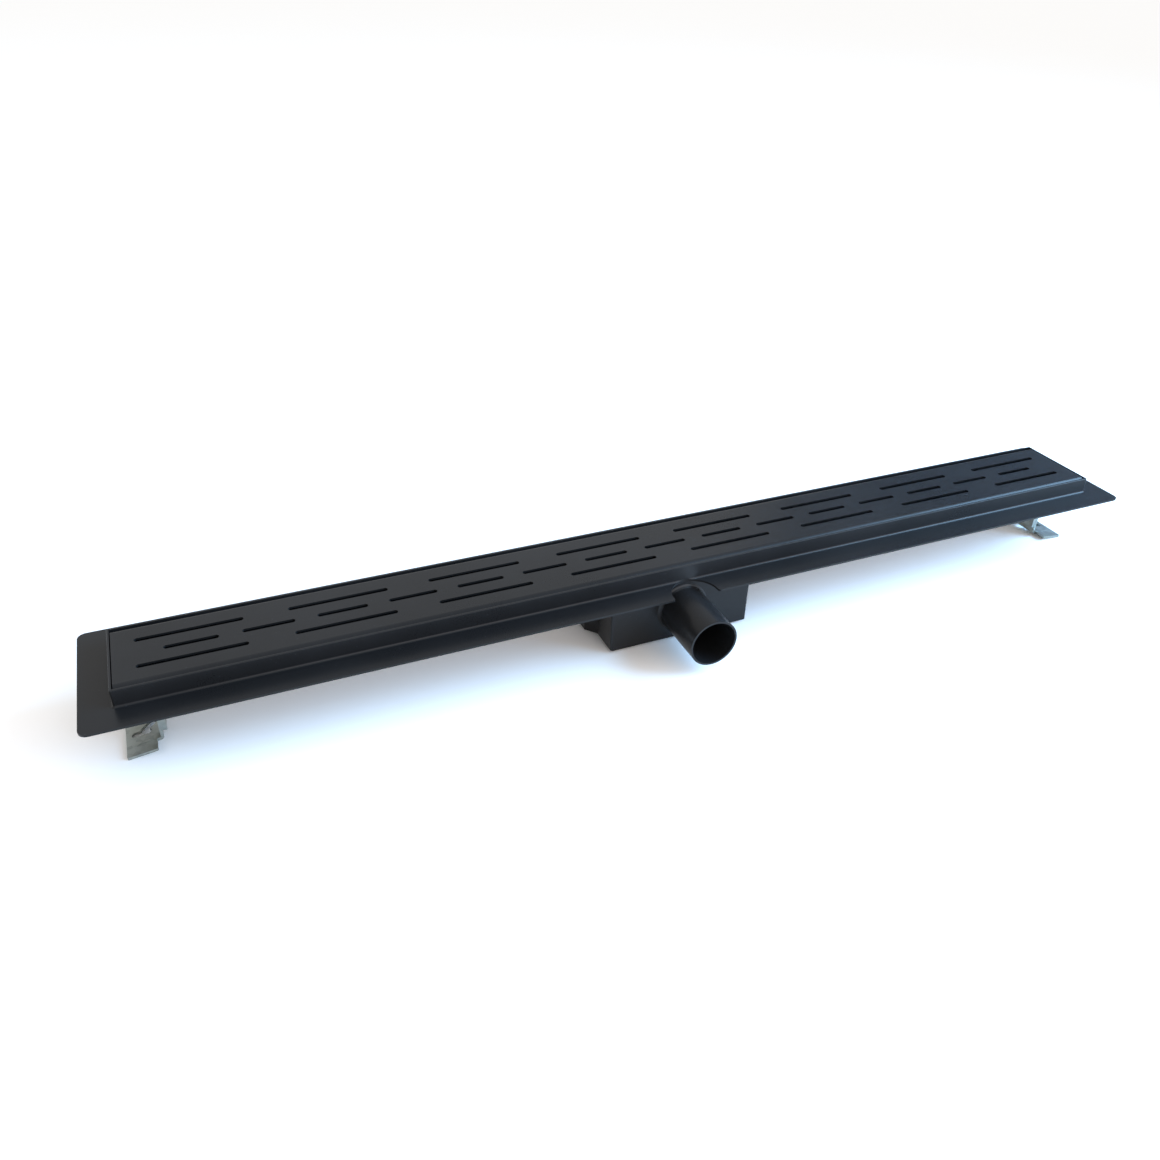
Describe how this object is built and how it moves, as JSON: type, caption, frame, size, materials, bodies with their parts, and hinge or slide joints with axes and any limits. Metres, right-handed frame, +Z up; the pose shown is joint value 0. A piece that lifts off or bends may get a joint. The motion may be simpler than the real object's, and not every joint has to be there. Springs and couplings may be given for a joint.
{
  "type": "linear shower channel drain",
  "caption": "Slotted linear floor drain: lift-out cover in a raised frame with mounting flange, shallow trough, trap pan with round side outlet and bolted levelling legs.",
  "frame": {"origin": "centre of the raised frame's top edge, at finished floor level", "axes": "+X along the channel, -Y out of the side outlet, +Z up"},
  "size_m": [0.845, 0.141, 0.0665],
  "materials": {
    "coated_steel": "black, satin to semi-gloss",
    "zinc_steel": "grey-green galvanised",
    "rubber": "matt black"
  },
  "bodies": {
    "channel": {"channel_flange_frame": "coated_steel", "trough_left": "coated_steel", "trough_right": "coated_steel", "trap_pan": "coated_steel", "trap_weir": "coated_steel", "outlet_pipe": "coated_steel", "pipe_weld_bead": "coated_steel", "grate_cover": "coated_steel", "grate_rests": "coated_steel", "rest_pads": "rubber", "trap_insert": "coated_steel", "insert_gaskets": "rubber", "hair_strainer": "coated_steel", "leg_tab_left": "zinc_steel", "leg_tab_right": "zinc_steel", "leg_bolt_left": "zinc_steel", "leg_bolt_right": "zinc_steel", "leg_washers_left": "zinc_steel", "leg_washers_right": "zinc_steel", "leg_nut_left": "zinc_steel", "leg_nut_right": "zinc_steel"},
    "leg_left": {"leg_foot_left": "zinc_steel"},
    "leg_right": {"leg_foot_right": "zinc_steel"}
  },
  "joints": [
    {"name": "leg_left_height", "type": "slide", "parent": "channel", "child": "leg_left", "axis": [0, 0, 1], "range_m": [-0.012, 0.004]},
    {"name": "leg_right_height", "type": "slide", "parent": "channel", "child": "leg_right", "axis": [0, 0, 1], "range_m": [-0.012, 0.004]}
  ]
}
